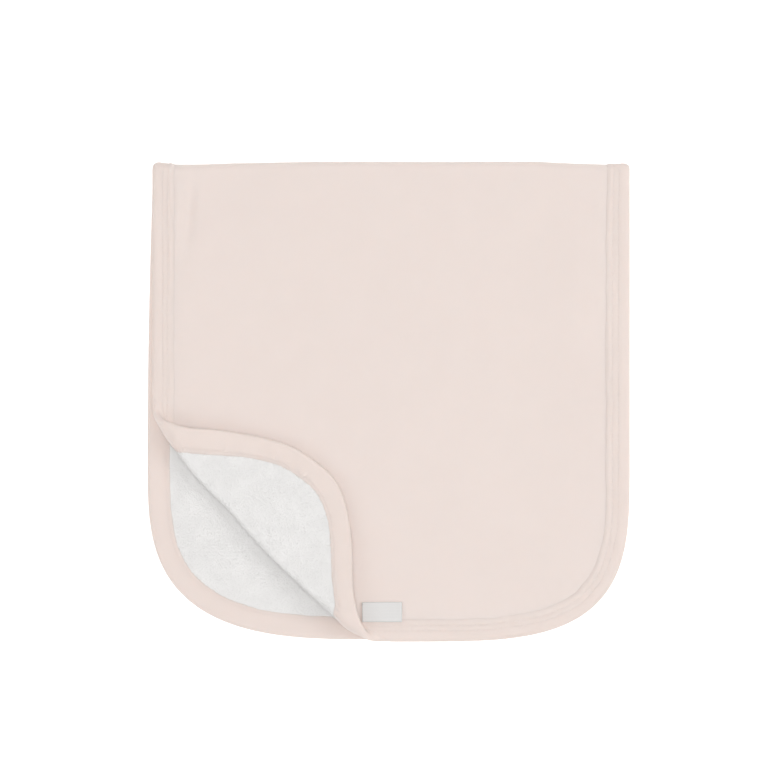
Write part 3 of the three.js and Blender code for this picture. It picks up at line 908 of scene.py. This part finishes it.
def add_floor():
    material, tree, shader = new_material("floor_paper")
    cloud = add_node(tree, "ShaderNodeTexNoise", Vector=object_place(tree), Scale=2.0)
    colour = tinted(tree, cloud.outputs["Fac"], (0.95, 0.95, 0.95), (0.96, 0.96, 0.96))
    tree.links.new(colour, shader.inputs["Base Color"])
    shader.inputs["Roughness"].default_value = 1.0
    shader.inputs["Specular IOR Level"].default_value = 0.0
    shader.inputs["Emission Color"].default_value = (1, 1, 1, 1)
    shader.inputs["Emission Strength"].default_value = 0.35
    reach = FLOOR_REACH / MM
    points = np.array([(-reach, -reach, 0), (reach, -reach, 0), (reach, reach, 0), (-reach, reach, 0)])
    floor = add_piece("floor", points, [[0, 1, 2, 3]], material)


def add_light(name, place, size, power):
    light = bpy.data.lights.new(name, "AREA")
    light.shape = "DISK"
    light.size = size
    light.energy = power
    made = bpy.data.objects.new(name, light)
    made.location = place
    made.rotation_mode = "QUATERNION"
    made.rotation_quaternion = (-Vector(place)).to_track_quat("-Z", "Y")
    bpy.context.scene.collection.objects.link(made)


def add_world(strength):
    world = bpy.data.worlds.new("studio")
    world.use_nodes = True
    world.node_tree.nodes["Background"].inputs["Color"].default_value = (1, 1, 1, 1)
    world.node_tree.nodes["Background"].inputs["Strength"].default_value = strength
    bpy.context.scene.world = world


def add_camera():
    data = bpy.data.cameras.new("camera")
    data.sensor_width = 36.0
    data.lens = data.sensor_width * (CAMERA_HEIGHT - VIEW_PLANE) / VIEW_WIDTH
    data.clip_start, data.clip_end = 0.05, 20
    camera = bpy.data.objects.new("camera", data)
    camera.location = (*VIEW_CENTRE, CAMERA_HEIGHT)
    bpy.context.scene.collection.objects.link(camera)
    bpy.context.scene.camera = camera


def build():
    peach = knit_material("jersey_knit", (0.795, 0.695, 0.65), (0.805, 0.705, 0.66), 0.56, 0.46, 0.12)
    band = knit_material("binding_knit", (0.795, 0.69, 0.64), (0.805, 0.70, 0.65), 0.5, 0.56, 0.15)
    white = terry_material("terry_ground", (0.87, 0.86, 0.85), (0.91, 0.90, 0.89), 900.0, 0.4)
    loops = terry_material("terry_yarn", (0.88, 0.87, 0.86), (0.92, 0.91, 0.90), 2500.0, 0.2)
    thread = knit_material("sewing_thread", (0.80, 0.70, 0.66), (0.82, 0.72, 0.68), 0.3, 0.3, 0.3)

    flat = pattern()
    face = add_panel("jersey_layer", flat, PLY_GAP, thickness(flat["d"], JERSEY), peach)
    terry = add_panel("terry_layer", flat, -PLY_GAP, -terry_outside(flat), white)
    binding = add_binding(band)
    rows = [stitch_row(row, 0.25 * k) for k, row in enumerate(FACE_ROWS)]
    sewing = add_piece("stitches", *join([*rows, looper_row()]), thread)
    flap_loops = add_loops("flap_loops", 1, loops)
    back_loops = add_loops("back_loops", -1, loops)
    label = add_label(label_material())
    say_pieces(face, terry, binding, label, sewing, flap_loops, back_loops)


def say_pieces(face, terry, binding, label, sewing, flap_loops, back_loops):
    for piece in (face, terry, binding, sewing, flap_loops, back_loops, label):
        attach(piece, "root")
    for piece, node, slot in (
        (face, "face_panel", "jersey"), (terry, "terry_panel", "terry"),
        (binding, "binding", "binding"), (label, "label", "label"),
    ):
        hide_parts(node)


def light_and_camera():
    bpy.context.scene.view_settings.view_transform = "Standard"
    add_world(0.46)
    add_light("front", (0.0, 0.03, 2.2), 0.6, 18.2)
    add_light("key", (1.37, 0.2, 1.2), 0.9, 8.0)
    add_light("fill", (-1.3, -0.85, 1.2), 1.0, 4.6)
    add_floor()
    add_camera()


build()
light_and_camera()
